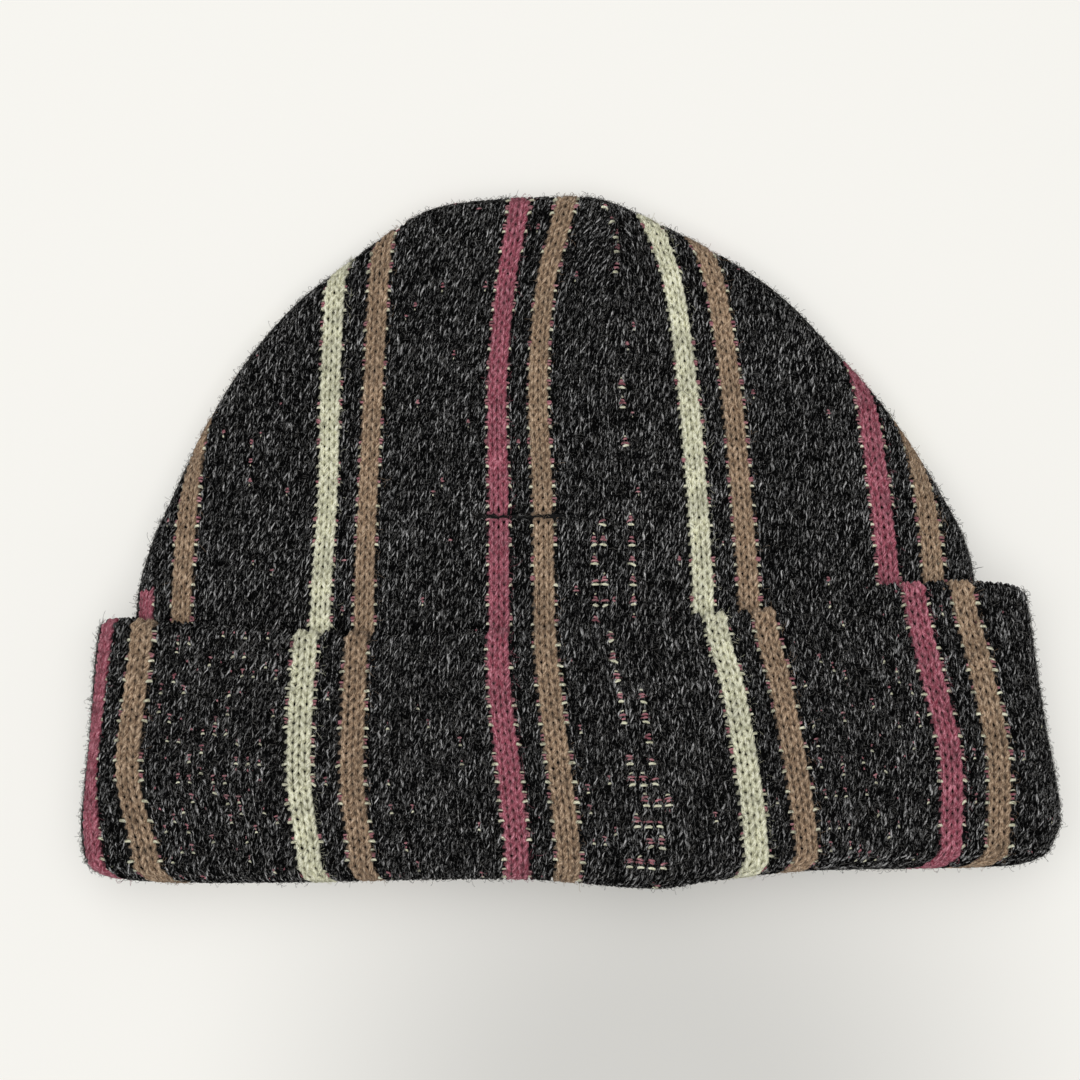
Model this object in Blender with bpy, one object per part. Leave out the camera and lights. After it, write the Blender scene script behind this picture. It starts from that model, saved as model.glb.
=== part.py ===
"""Double-layer knit beanie with a turned-up cuff, lying flat on its back.

Metres, +Z up. +X is across the hat, +Y runs from the cuff to the crown, and the back lies on z = 0.
The origin is the bottom centre of the whole hat. The hat is a shell and a lining, each closed by four
crown darts, a turned-up cuff of two layers, and the folds that join them.
"""

import math

import bmesh
import bpy
from mathutils import Matrix, Vector

# Driving dimensions.
FABRIC = 0.0018          # thickness of one knitted layer
GAP = 0.0003             # clearance between pieces that touch
SEAM_ROOM = 0.0014       # room between shell and lining for the dart seams
CUFF_HALF = 0.013        # half the thickness of the flattened hat at the cuff
CUFF_CLEAR = 0.0005      # between the cuff's facing and the shell
CROWN_HALF = 0.0064      # half the thickness near the crown
CROWN_LIFT = 0.0004      # height of the crown's back over the floor
CROWN_ROLL = 0.0064      # how far down the crown's top edge its rounding reaches
POLE = (0.006, 0.168)    # where the four darts meet
TURN_DEPTH = 0.0052      # how far the turn-up reaches below the straight walls
HEM_EDGE = 0.0003        # height of the hem's straight part
HEM_ROUND = 0.0019       # height of its round edge
DART_FROM = 0.55         # where the darts start, as a share of the way up to the crown
DART_TO = 0.99
SEAM_CLEAR = 0.0002      # from a seam ridge to the fabrics over and under it
SEAM_INSET = 0.0004      # from the dart's line to the seam ridge beside it
SEAM_WIDTH = 0.0024
TACK_SIZE = (0.004, 0.0006, 0.0014)
TACK_DROP = 0.0003
WALL_FROM = 0.01         # where the cuff's walls start and end, as shares of its height
WALL_TO = 0.993

# Derived dimensions.
LINING_IN = FABRIC + SEAM_ROOM
CUFF_WALL = 2 * FABRIC + GAP
SHELL_HALF = CUFF_HALF - CUFF_WALL - CUFF_CLEAR
HALF_STACK = (CUFF_HALF - SHELL_HALF + LINING_IN + FABRIC) / 2

# Left and right edges of the shell from the mouth to the crown, as (x, y), matched pair by pair.
SHELL_LEFT = [
    (-0.1066, 0.0066), (-0.1066, 0.034), (-0.1066, 0.062), (-0.1000, 0.0885), (-0.0907, 0.1107),
    (-0.0801, 0.1276), (-0.0663, 0.1430), (-0.0490, 0.1565), (-0.0300, 0.1655), (-0.0130, 0.1674),
]
SHELL_RIGHT = [
    (0.1005, 0.0078), (0.1005, 0.035), (0.1003, 0.066), (0.0950, 0.0875), (0.0860, 0.1035),
    (0.0755, 0.1188), (0.0620, 0.1335), (0.0450, 0.1490), (0.0290, 0.1580), (0.0185, 0.1642),
]
# Left and right edges of the cuff from just over the turn-up to the hem.
CUFF_LEFT = [(-0.1202, 0.0052), (-0.1207, 0.016), (-0.1189, 0.030), (-0.1175, 0.044), (-0.1150, 0.0610)]
CUFF_RIGHT = [(0.1196, 0.0065), (0.1207, 0.018), (0.1183, 0.033), (0.1150, 0.049), (0.1122, 0.0690)]

FLAT_STEPS = 2           # columns on the flat part of a quarter section
ROUND_STEPS = 5          # columns on its round end
LONG_ROWS = 12           # rows of a gore up to the crown's top
TOP_ROWS_FROM = 0.85
TOP_ROWS = 4
CAP_SCALES = (0.55, 0.2)  # rows that close the crown towards its pole
CUFF_ROWS = 4
HEM_STEPS = 6
TURN_STEPS = 6

QUARTERS = {
    "front_left": (-1, 1),
    "front_right": (1, 1),
    "back_left": (-1, -1),
    "back_right": (1, -1),
}
SIDES = {"front": 1, "back": -1}


def clear_scene():
    for old in list(bpy.data.objects):
        bpy.data.objects.remove(old, do_unlink=True)


def material(name, color, roughness=0.95):
    made = bpy.data.materials.new(name)
    made.use_nodes = True
    shader = made.node_tree.nodes["Principled BSDF"]
    shader.inputs["Base Color"].default_value = (*color, 1.0)
    shader.inputs["Roughness"].default_value = roughness
    shader.inputs["Metallic"].default_value = 0.0
    return made


def along(points, share):
    """The point at a share (0 to 1) of the way along a smooth curve through the points."""
    spot = min(max(share, 0.0), 1.0) * (len(points) - 1)
    index = min(int(spot), len(points) - 2)
    t = spot - index
    around = [points[min(max(index + k, 0), len(points) - 1)] for k in (-1, 0, 1, 2)]
    result = []
    for p0, p1, p2, p3 in zip(*around):
        result.append(0.5 * (2 * p1 + (p2 - p0) * t + (2 * p0 - 5 * p1 + 4 * p2 - p3) * t * t
                             + (3 * p1 - p0 - 3 * p2 + p3) * t ** 3))
    return result


def ease(value, low, high):
    t = min(max((value - low) / (high - low), 0.0), 1.0)
    return t * t * (3 - 2 * t)


def on_section(half_width, half_height, length, side_x, side_z):
    """A point of a flattened tube's section, a length away from its centre line along the surface."""
    end = min(half_width, half_height)
    flat = half_width - end
    if length <= flat:
        return side_x * length, side_z * half_height
    angle = min((length - flat) / quarter_arc(end, half_height), 1.0) * math.pi / 2
    return side_x * (flat + end * math.sin(angle)), side_z * half_height * math.cos(angle)


def quarter_arc(a, b):
    return math.pi / 4 * (a + b)


def quarter_length(half_width, half_height):
    end = min(half_width, half_height)
    return half_width - end + quarter_arc(end, half_height)


def inset(points, share, depth, side_x):
    """A point of an edge line moved into the hat, square to the line."""
    here = along(points, share)
    low, high = along(points, share - 0.01), along(points, share + 0.01)
    tangent = Vector((high[0] - low[0], high[1] - low[1])).normalized()
    return here[0] - side_x * tangent[1] * depth, here[1] + side_x * tangent[0] * depth


class Shell:
    """The shell's surfaces, by depth under the outside, row share (0 mouth, 1 crown) and length."""

    centre = POLE[0]

    @staticmethod
    def row(depth, share):
        """Left end, right end, half thickness and middle height of the section at a share."""
        left = inset(SHELL_LEFT, share, depth, -1)
        right = inset(SHELL_RIGHT, share, depth, 1)
        middle_y = (left[1] + right[1]) / 2
        full = SHELL_HALF + (CROWN_HALF - SHELL_HALF) * ease(middle_y, 0.070, 0.150)
        back = CUFF_HALF - SHELL_HALF + (CROWN_LIFT - CUFF_HALF + SHELL_HALF) * ease(middle_y, 0.068, 0.105)
        drop = min(max((POLE[1] - depth - middle_y) / (CROWN_ROLL - depth), 0.0), 1.0)
        return left, right, (full - depth) * math.sqrt(1 - (1 - drop) ** 2), back + full

    @classmethod
    def point(cls, depth, share, length, side_x, side_z, shrink=1.0):
        left, right, half, middle = cls.row(depth, share)
        width = right[0] - cls.centre if side_x > 0 else cls.centre - left[0]
        x, z = on_section(width, half, length, side_x, side_z)
        y = left[1] + (right[1] - left[1]) * (cls.centre + x - left[0]) / (right[0] - left[0])
        top = POLE[1] - depth
        return Vector((cls.centre + x * shrink, top + (y - top) * shrink, middle + z * shrink))

    @classmethod
    def length(cls, depth, share, side_x):
        left, right, half, _ = cls.row(depth, share)
        width = right[0] - cls.centre if side_x > 0 else cls.centre - left[0]
        return quarter_length(width, half), width - min(width, half)


class Cuff:
    """The cuff's surfaces, by depth under the outside, row share (0 turn-up, 1 hem) and length."""

    @staticmethod
    def row(depth, share):
        left, right = along(CUFF_LEFT, share), along(CUFF_RIGHT, share)
        return (left[0] + depth, left[1]), (right[0] - depth, right[1]), CUFF_HALF - depth

    @classmethod
    def point(cls, depth, share, length, side_x, side_z):
        left, right, half = cls.row(depth, share)
        x, z = on_section(right[0] if side_x > 0 else -left[0], half, length, side_x, side_z)
        y = left[1] + (right[1] - left[1]) * ease(x, left[0] * 0.6, right[0])
        return Vector((x, y, CUFF_HALF + z))

    @classmethod
    def length(cls, depth, share, side_x):
        left, right, half = cls.row(depth, share)
        width = right[0] if side_x > 0 else -left[0]
        return quarter_length(width, half), width - half


def column_lengths(surface, depth, share, side_x, first=GAP / 2, last=GAP / 2):
    """Lengths of a quarter section's columns, with half a gap kept at both ends."""
    total, flat = surface.length(depth, share, side_x)
    flat = max(flat, first * 2)
    flats = [first + (flat - first) * k / FLAT_STEPS for k in range(FLAT_STEPS)]
    rounds = [flat + (total - last - flat) * k / ROUND_STEPS for k in range(ROUND_STEPS + 1)]
    return flats + rounds


def solid(name, outer, inner, skin):
    """A closed body between two grids of points of the same size."""
    mesh = bmesh.new()
    rows, columns = len(outer), len(outer[0])
    top = [[mesh.verts.new(p) for p in row] for row in outer]
    under = [[mesh.verts.new(p) for p in row] for row in inner]
    for r in range(rows - 1):
        for c in range(columns - 1):
            mesh.faces.new((top[r][c], top[r][c + 1], top[r + 1][c + 1], top[r + 1][c]))
            mesh.faces.new((under[r][c], under[r + 1][c], under[r + 1][c + 1], under[r][c + 1]))
    rim = [(0, c) for c in range(columns)] + [(r, columns - 1) for r in range(1, rows)]
    rim += [(rows - 1, c) for c in range(columns - 2, -1, -1)] + [(r, 0) for r in range(rows - 2, 0, -1)]
    for (r0, c0), (r1, c1) in zip(rim, rim[1:] + rim[:1]):
        mesh.faces.new((top[r0][c0], under[r0][c0], under[r1][c1], top[r1][c1]))
    bmesh.ops.recalc_face_normals(mesh, faces=mesh.faces)
    data = bpy.data.meshes.new(name)
    mesh.to_mesh(data)
    mesh.free()
    made = bpy.data.objects.new(name, data)
    bpy.context.collection.objects.link(made)
    data.materials.append(skin)
    data.shade_smooth()
    data.set_sharp_from_angle(angle=math.radians(40))
    return made


def row_shares():
    """The shell's rows, closer together at the crown's top."""
    shares = [TOP_ROWS_FROM * k / LONG_ROWS for k in range(LONG_ROWS)]
    return shares + [TOP_ROWS_FROM + (1 - TOP_ROWS_FROM) * k / TOP_ROWS for k in range(TOP_ROWS + 1)]


def gore(name, quarter, depth, skin):
    """A quarter of the shell or of the lining, from the mouth to the crown's pole."""
    side_x, side_z = quarter
    rows = [(share, 1.0) for share in row_shares()] + [(1.0, scale) for scale in CAP_SCALES]
    grids = []
    for level in (depth, depth + FABRIC):
        grid = []
        for share, shrink in rows:
            edge = GAP / 2 / shrink
            lengths = column_lengths(Shell, level, share, side_x, edge, edge)
            grid.append([Shell.point(level, share, s, side_x, side_z, shrink) for s in lengths])
        grids.append(grid)
    return solid(name, *grids, skin)


def dart_seam(name, line, away, skin):
    """The ridge beside a dart: line is the dart's place, away says which side of it the ridge lies."""
    grids = []
    for level in (FABRIC + SEAM_CLEAR, FABRIC + SEAM_ROOM - SEAM_CLEAR):
        grid = []
        for share in row_shares():
            if not DART_FROM < share < DART_TO:
                continue
            row = []
            for reach in (SEAM_INSET, SEAM_INSET + SEAM_WIDTH / 2, SEAM_INSET + SEAM_WIDTH):
                if line in SIDES:
                    row.append(Shell.point(level, share, reach, away, SIDES[line]))
                else:
                    side_x = -1 if line == "left" else 1
                    total, _ = Shell.length(level, share, side_x)
                    row.append(Shell.point(level, share, total - reach, side_x, away))
            grid.append(row)
        grids.append(grid)
    return solid(name, *grids, skin)


def cuff_columns(depth, share):
    """Half the cuff's section as (length, side_x) pairs, from its left edge to its right edge."""
    left = [(s, -1) for s in column_lengths(Cuff, depth, share, -1, 0.0)]
    right = [(s, 1) for s in column_lengths(Cuff, depth, share, 1, 0.0)]
    return left[::-1] + right[1:]


def cuff_row(depth, share, side_z):
    return [Cuff.point(depth, share, s, sx, side_z) for s, sx in cuff_columns(depth, share)]


def cuff_wall(name, side_z, depth, skin):
    shares = [WALL_FROM + (WALL_TO - WALL_FROM) * k / CUFF_ROWS for k in range(CUFF_ROWS + 1)]
    grids = [[cuff_row(level, share, side_z) for share in shares] for level in (depth, depth + FABRIC)]
    return solid(name, *grids, skin)


def cuff_hem(name, side_z, skin):
    """The round folded edge on top of the cuff's face and facing."""
    rounds, feet = [], []
    for k in range(HEM_STEPS + 1):
        angle = math.pi * k / HEM_STEPS
        foot = cuff_row(CUFF_WALL / 2 * (1 - math.cos(angle)), 1.0, side_z)
        rise = Vector((0, HEM_EDGE + HEM_ROUND * math.sin(angle), 0))
        feet.append(foot)
        rounds.append([point + rise for point in foot])
    return solid(name, rounds, feet, skin)


def inner_row(side_z):
    """The lining's inside at the mouth, with as many points as a row of the cuff."""
    level = LINING_IN + FABRIC
    low_left, low_right, half, _ = Shell.row(level, 0.0)
    columns = []
    for s, sx in cuff_columns(0.0, 0.0):
        width = low_right[0] if sx > 0 else -low_left[0]
        total, _ = Cuff.length(0.0, 0.0, sx)
        x, z = on_section(width, half, s * quarter_length(width, half) / total, sx, side_z)
        columns.append(Vector((x, 0.0, CUFF_HALF + z)))
    return columns


def turn_up(name, side_z, outer_share, inner_share, skin):
    """One fabric of the fold under the cuff, between the cuff's outside and the lining's inside."""
    outsides, insides = cuff_row(0.0, 0.0, side_z), inner_row(side_z)
    grids = []
    for share in (outer_share, inner_share):
        grid = []
        for k in range(TURN_STEPS + 1):
            angle = math.pi * k / TURN_STEPS
            row = []
            for outside, inside in zip(outsides, insides):
                inside = Vector((inside.x, outside.y, inside.z))
                middle, half = (outside + inside) / 2, (outside - inside) / 2
                drop = Vector((0, -TURN_DEPTH * share * math.sin(angle), 0))
                row.append(middle + half * share * math.cos(angle) + drop)
            for end in (0, -1):
                row[end].z = CUFF_HALF + side_z * GAP / 2
            grid.append(row)
        grids.append(grid)
    return solid(name, *grids, skin)


def crown_tack(skin):
    """The few stitches between the two crowns, as a small block in the seam room."""
    mesh = bmesh.new()
    bmesh.ops.create_cube(mesh, size=1.0)
    data = bpy.data.meshes.new("crown_tack")
    mesh.to_mesh(data)
    mesh.free()
    made = bpy.data.objects.new("crown_tack", data)
    bpy.context.collection.objects.link(made)
    middle = CROWN_LIFT + CROWN_HALF
    depth = FABRIC + SEAM_ROOM / 2
    made.location = (POLE[0], POLE[1] - TACK_DROP - depth, middle)
    data.transform(Matrix.Diagonal((*TACK_SIZE, 1.0)))
    data.materials.append(skin)
    return made


def settle(pieces):
    """Moves all the pieces so that the origin is the bottom centre of the hat."""
    bpy.context.view_layer.update()
    corners = [made.matrix_world @ v.co for made in pieces for v in made.data.vertices]
    low = [min(c[k] for c in corners) for k in range(3)]
    high = [max(c[k] for c in corners) for k in range(3)]
    shift = Vector(((low[0] + high[0]) / 2, (low[1] + high[1]) / 2, low[2]))
    for made in pieces:
        made.location = made.location - shift


def build():
    clear_scene()
    charcoal = (0.016, 0.015, 0.016)
    pieces = []
    for layer, depth in (("outer", 0.0), ("lining", LINING_IN)):
        for place, quarter in QUARTERS.items():
            name = f"{layer}_gore_{place}"
            pieces.append(gore(name, quarter, depth, material(name, charcoal)))
        away = -1 if layer == "outer" else 1
        for line in ("front", "back", "left", "right"):
            name = f"{layer}_dart_seam_{line}"
            pieces.append(dart_seam(name, line, away, material(name, charcoal)))
    pieces.append(crown_tack(material("crown_tack", charcoal)))
    for place, side_z in SIDES.items():
        for part_name, depth in (("cuff_face", 0.0), ("cuff_facing", FABRIC + GAP)):
            name = f"{part_name}_{place}"
            pieces.append(cuff_wall(name, side_z, depth, material(name, charcoal)))
        name = f"cuff_hem_{place}"
        pieces.append(cuff_hem(name, side_z, material(name, charcoal)))
        face_share = 1 - FABRIC / HALF_STACK
        under_share = face_share - GAP / HALF_STACK
        inner_share = under_share - FABRIC / HALF_STACK
        pieces.append(turn_up(f"turn_up_lining_{place}", side_z, 1.0, face_share,
                              material(f"turn_up_lining_{place}", charcoal)))
        pieces.append(turn_up(f"turn_up_shell_{place}", side_z, under_share, inner_share,
                              material(f"turn_up_shell_{place}", charcoal)))
    settle(pieces)


build()
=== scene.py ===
"""The looks of a double-layer jacquard-knit beanie with a turned-up cuff, lying flat on its back.

Every visible yarn is modelled: each course of stitches is one continuous looped yarn laid on the hat's
surface. The hat's lengths are millimetres in its own frame (y = 0 at the cuff's lower edge, z = 0 on the
floor) until a mesh is made; the floor, the light and the camera are in metres.
"""

import math

import bpy
import numpy as np
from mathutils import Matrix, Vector


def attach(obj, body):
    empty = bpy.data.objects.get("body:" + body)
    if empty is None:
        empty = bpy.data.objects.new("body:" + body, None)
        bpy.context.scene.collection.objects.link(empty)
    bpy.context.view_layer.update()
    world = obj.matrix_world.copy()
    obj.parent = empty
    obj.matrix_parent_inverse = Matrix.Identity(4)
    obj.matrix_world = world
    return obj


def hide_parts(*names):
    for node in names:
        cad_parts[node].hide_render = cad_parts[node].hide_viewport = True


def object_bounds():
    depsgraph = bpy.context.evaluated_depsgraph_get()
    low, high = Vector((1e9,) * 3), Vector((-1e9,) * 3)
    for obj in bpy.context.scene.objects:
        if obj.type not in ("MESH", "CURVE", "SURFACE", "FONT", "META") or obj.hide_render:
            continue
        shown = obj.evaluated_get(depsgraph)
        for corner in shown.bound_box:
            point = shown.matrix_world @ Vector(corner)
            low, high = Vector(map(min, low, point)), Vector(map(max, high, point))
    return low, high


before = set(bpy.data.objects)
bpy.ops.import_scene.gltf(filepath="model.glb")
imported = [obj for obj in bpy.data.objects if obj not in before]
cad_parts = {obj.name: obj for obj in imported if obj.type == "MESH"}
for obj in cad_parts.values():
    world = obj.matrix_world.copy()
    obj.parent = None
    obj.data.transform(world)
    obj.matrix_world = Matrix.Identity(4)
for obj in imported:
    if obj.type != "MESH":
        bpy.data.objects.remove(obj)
CAD_LOW, CAD_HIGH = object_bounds()

MM = 0.001
Y_BASE = CAD_LOW[1] / MM      # where the hat's y = 0 lies in the frame
SEED = 7

# Knit.
YARN_DEPTH = 1.15             # from the fabric's outside to the middle of its yarn
BODY_COURSE = 2.43
BODY_WALE = 2.33
BODY_YARN = 0.49
STRIPE_PLUMP = 1.10           # a stripe's yarns are this much thicker,
DARK_PLUMP = 0.94             # the dark yarn is this much thinner,
STRIPE_SPREAD = 1.08          # and its wales this much wider
CUFF_WALE = 2.65
CUFF_YARN = 0.52
CUFF_COURSES = 23.5
CUFF_COURSE = 2.6
SHELL_COURSES = (1, 72)       # first and last course of the shell
SHELL_FOOT = 3.0              # how far over the cuff's lower edge the shell ends
LOOP_RISE = 0.82              # half a loop's height, in courses
LOOP_BULGE = 0.24             # how far a leg leans to either side of its middle, in wales
LOOP_DEPTH = 0.68             # how far its legs stand proud of its head and feet
LOOP_UNEVEN, YARN_UNEVEN = 0.06, 0.04
SHORTEST_RUN = 5              # points in the shortest run that is laid
SAMPLES = 10                  # points along one stitch
SIDES, FIBRE_SIDES = 6, 3     # sides of a yarn and of a stray fibre
PLIES = 0.13                  # how far the two plies stand out of a round yarn
TWIST = 0.8                   # turns of the plies, radians per millimetre
LADDER = 0.36                 # room at each edge of a stripe, in wales
POINTS_PER_PIECE = 15000
FIBRES = {"front": 62000, "back": 18000}   # places tried for a stray fibre on a face
FIBRE_SHARE, FIBRE_RIM = 0.36, 3.0         # how many grow, all of them this near the outline
FIBRE_RADIUS = 0.042
FIBRE_LENGTH = (3.0, 0.38, 0.4)            # shape and scale of its gamma curve, and the least
FIBRE_RISE = (1.6, 0.28)                   # the same for how high it rises
FIBRE_CURL, FIBRE_START, GREY_SHARE = 1.2, 0.75, 0.6
FLOOR_ROOM = 0.1                           # fibres stay this far over the floor

# The shell, as in the CAD model.
SHELL_HALF, CROWN_HALF = 8.6, 6.4
SHELL_BACK, CROWN_BACK = 4.4, 0.4
THIN_FROM, THIN_TO = 70, 150  # where the shell thins towards the crown
SINK_FROM, SINK_TO = 68, 105  # where its back comes down to the floor
SHELL_EDGE = [
    (-106.8, -30), (-106.8, 0), (-107.0, 35), (-107.4, 63.2), (-104.5, 78.6), (-98.8, 93.0),
    (-90.7, 110.7), (-80.6, 127.0), (-69.3, 140.2), (-56.5, 150.6), (-43.1, 160.3), (-34.0, 164.9),
    (-22.0, 166.9), (-6.0, 167.8), (4.5, 167.7), (11.5, 165.9), (21.0, 161.7), (34.5, 154.8),
    (46.3, 147.7), (55.8, 140.0), (65.3, 129.8), (75.5, 118.6), (84.2, 106.6), (92.1, 93.3),
    (98.0, 80.6), (100.3, 66.0), (100.8, 40), (100.8, 0), (100.8, -30),
]
DART = [(119, 10.6), (132, 10.8), (145, 11.7), (152, 12.2), (158, 11.8), (163, 10.0), (168, 7.2), (176, 2)]
DART_WALE, DART_EDGE = 2.15, -0.35
DART_VALLEY = (3.8, 1.5, 132, 158)           # depth, width, where it starts and where it is full
DART_SHOULDERS = (0.9, 7.0, 4.0, 125, 155)   # height, distance, width, start and full
DART_RUNGS = (61, 63, 64.5, 66, 67.5)        # courses with back yarns at the dart
CREASE_COURSE, CREASE_FROM, CREASE_TO = 36, -22.5, -1.5   # a short fold across two stripes
CREASE_DEPTH, CREASE_WIDTH = 1.3, 1.1

# The cuff.
CUFF_HALF = 13.0
LINING_HALF = 3.6             # half the height of the opening inside the lining
LINING_LEFT, LINING_RIGHT = -101.6, 95.6
CUFF_LEFT = [
    (4, -119.7), (10, -120.7), (16, -120.6), (25.5, -119.6), (44, -118.1), (57, -117.2), (67, -115.4),
]
CUFF_RIGHT = [
    (4, 118.4), (11.5, 120.7), (22.3, 119.5), (35.9, 117.2), (50.2, 115.2), (61, 113.8), (74, 112.0),
]
CUFF_TOP = [
    (-118, 61.2), (-107, 61.6), (-80, 59.8), (-50, 58.3), (-25, 58.9), (-7.6, 59.9), (20, 62.1),
    (44, 63.9), (58, 66.1), (74, 69.6), (90, 70.8), (104, 70.5), (116, 68.8),
]
CUFF_BOTTOM = [
    (-118, -0.4), (-98, -1.1), (-66, -1.0), (-41, -0.5), (-8, -0.5), (22, -2.6), (38, -0.7), (62, 1.7),
    (90, 2.3), (118, 2.8),
]
CUFF_SIDES_FROM, CUFF_SIDES_SPAN = 5, 58   # heights at which the sides are read, from bottom to top,
LEFT_LIFT, RIGHT_LIFT = 3, 8               # and how much higher at the cuff's right
TURN_DEPTH, TURN_RADIUS, TURN_ROOM = 4.4, 4.3, 0.2
HEM_RADIUS = 0.85

# Sheets: the grid they are sampled on, and where the yarns and cloths end at their edges.
GRID = 0.8
SHELL_SPAN, SHELL_STEP = (-118, 113), 0.33
CUFF_SPAN, CUFF_STEP = (-134, 134), 0.25
EDGE_POINTS, BLOCK = 700, 4000
KNIT_EDGE, RUNG_EDGE, CLOTH_EDGE, OUTSIDE = -0.4, 0.2, -0.8, -10.0
CLOTH_DEPTH, LINING_DEPTH, FACING_DEPTH = 0.9, 1.9, 2.4
OUTER_MESH, INNER_MESH = 2, 3              # grid steps from one point of a cloth to the next

# Stripes from left to right, each two wales wide: colour, dark wales before it, and where its centre
# line runs on the shell (at SHELL_HEIGHTS) and on the cuff (at CUFF_HEIGHTS, in courses).
SHELL_HEIGHTS = (20, 62, 92, 119, 145, 168)
CUFF_HEIGHTS = (0, 8.5, 17, 23)
STRIPES = [
    ("pink", 14, (-104.6, -104.3, -104.2, -103.0, -101.0, -98.0), (-117.8, -119.2, -116.6, -114.5)),
    ("brown", 2, (-95.4, -95.4, -94.0, -92.6, -90.6, -88.0), (-102.6, -107.6, -105.9, -104.3)),
    ("cream", 12, (-61.2, -61.2, -59.6, -59.4, -58.4, -56.4), (-63.4, -65.9, -65.5, -64.4)),
    ("brown", 2, (-50.5, -50.5, -49.9, -48.7, -47.5, -45.6), (-50.9, -53.0, -52.5, -52.0)),
    ("pink", 12, (-17.6, -17.6, -17.8, -18.2, -16.0, -12.6), (-13.1, -14.9, -17.2, -17.9)),
    ("brown", 2, (-6.5, -6.5, -6.9, -8.1, -6.2, -0.6), (-0.6, -2.7, -5.1, -6.4)),
    ("cream", 14, (32.4, 32.4, 31.1, 28.9, 25.4, 18.2), (45.0, 42.9, 39.2, 35.2)),
    ("brown", 2, (43.6, 43.6, 41.9, 39.6, 35.8, 29.0), (57.2, 54.3, 50.4, 46.9)),
    ("pink", 12, (78.0, 78.0, 75.9, 72.6, 68.4, 63.0), (91.9, 91.8, 86.5, 83.2)),
    ("brown", 2, (89.0, 89.0, 87.0, 83.4, 79.0, 74.0), (103.1, 103.2, 98.8, 94.8)),
]
DARK_AFTER = 14
TAKEN_IN = 28                 # above this course the left dart has taken in the shell's first stripe
# Rungs of back yarn at one place: how full the place must be, colour, courses above its foot, width,
# depth and radius.
LADDER_RUNGS = (
    (0.0, "cream", 0.0, 1.0, 0.0, 0.37), (0.15, "rose", 0.40, 0.97, 0.06, 0.31),
    (0.45, "rose", 0.72, 0.93, 0.08, 0.28), (0.6, "cream", 1.04, 0.85, 0.14, 0.22),
)
FLECK_RUNGS = (
    (0.0, "rose", 0.38, 1.0, 0.0, 0.29), (0.25, "cream", 0.0, 0.85, 0.04, 0.27),
    (0.5, "rose", 0.70, 0.9, 0.06, 0.25),
)
LOOSE_EDGES = (("charcoal", "pink"), ("brown", "charcoal"))   # where the back yarns show most
LOOSE_RUNG = (0.95, 0.50, 0.42)   # how often they show there, their half width and their height,
TIGHT_RUNG = (0.8, 0.36, 0.28)    # and the same for the stripes' other edges
RUNG_UNEVEN = (0.85, 1.1)
CENTRE_GAP = 6                # the stripe after the centre front's wide gap

# The floor, which glows a little as painted light and glows less round a place below the cuff as a painted
# shadow, the light and the camera.
FLOOR_SIZE, FLOOR_LEVEL = 30.0, -0.0002
SHADOW_SPOT_PLACE, SHADOW_SPOT_REACH = (0.02, -0.145, 0.0), (0.02, 0.13)
FLOOR_GLOW = (0.13, 0.40)
WORLD_LIGHT = 0.30
KEY_PLACE, KEY_SIZE, KEY_POWER = (-0.08, 0.06, 1.25), 1.6, 15.5
LENS, SENSOR = 85.0, 36.0
CAMERA_TARGET, CAMERA_DISTANCE, CAMERA_TILT = (-0.0076, -0.00236, 0.018), 0.625, 1

rng = np.random.default_rng(SEED)


def back_stripes():
    """The back's stripes, a guess: the repeat goes on round the hat and leans in to the back dart."""
    stripes = []
    for group in range(5):
        colours = ("brown", "pink" if group % 2 else "cream")
        for step, colour in enumerate(colours):
            start = -86 + 40 * group + 11 * step
            pull = -14 if start > 10 else 5.5
            shell = tuple(start + pull * share for share in (0, 0, 0.1, 0.22, 0.5, 1))
            cuff = tuple(start * wide for wide in (1.12, 1.14, 1.12, 1.10))
            stripes.append((colour, 2 if step else 12, shell, cuff))
    return stripes


BACK_STRIPES = back_stripes()


# Curves and surfaces.


def through(a, b, c, d, t):
    """The Catmull-Rom curve from b to c."""
    return 0.5 * (2 * b + (c - a) * t + (2 * a - 5 * b + 4 * c - d) * t ** 2
                  + (3 * b - a - 3 * c + d) * t ** 3)


def smooth_curve(points, count):
    """Evenly parameterised points on a Catmull-Rom curve through the given ones."""
    p = np.array([points[0]] + list(points) + [points[-1]], dtype=float)
    spot = np.linspace(0, len(points) - 1, count)
    k = np.minimum(spot.astype(int), len(points) - 2)
    t = (spot - k)[:, None]
    return through(p[k], p[k + 1], p[k + 2], p[k + 3], t)


def profile(points, count=400):
    """A function of one number that follows the points smoothly."""
    line = smooth_curve(points, count)
    return lambda value: np.interp(value, line[:, 0], line[:, 1])


def ease(value, low, high):
    """Rises smoothly from 0 at one value to 1 at another."""
    t = np.clip((value - low) / (high - low), 0, 1)
    return t * t * (3 - 2 * t)


def bump_at(value, centre, width):
    """A rounded bump of height 1."""
    return np.exp(-(((value - centre) / width) ** 2))


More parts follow.
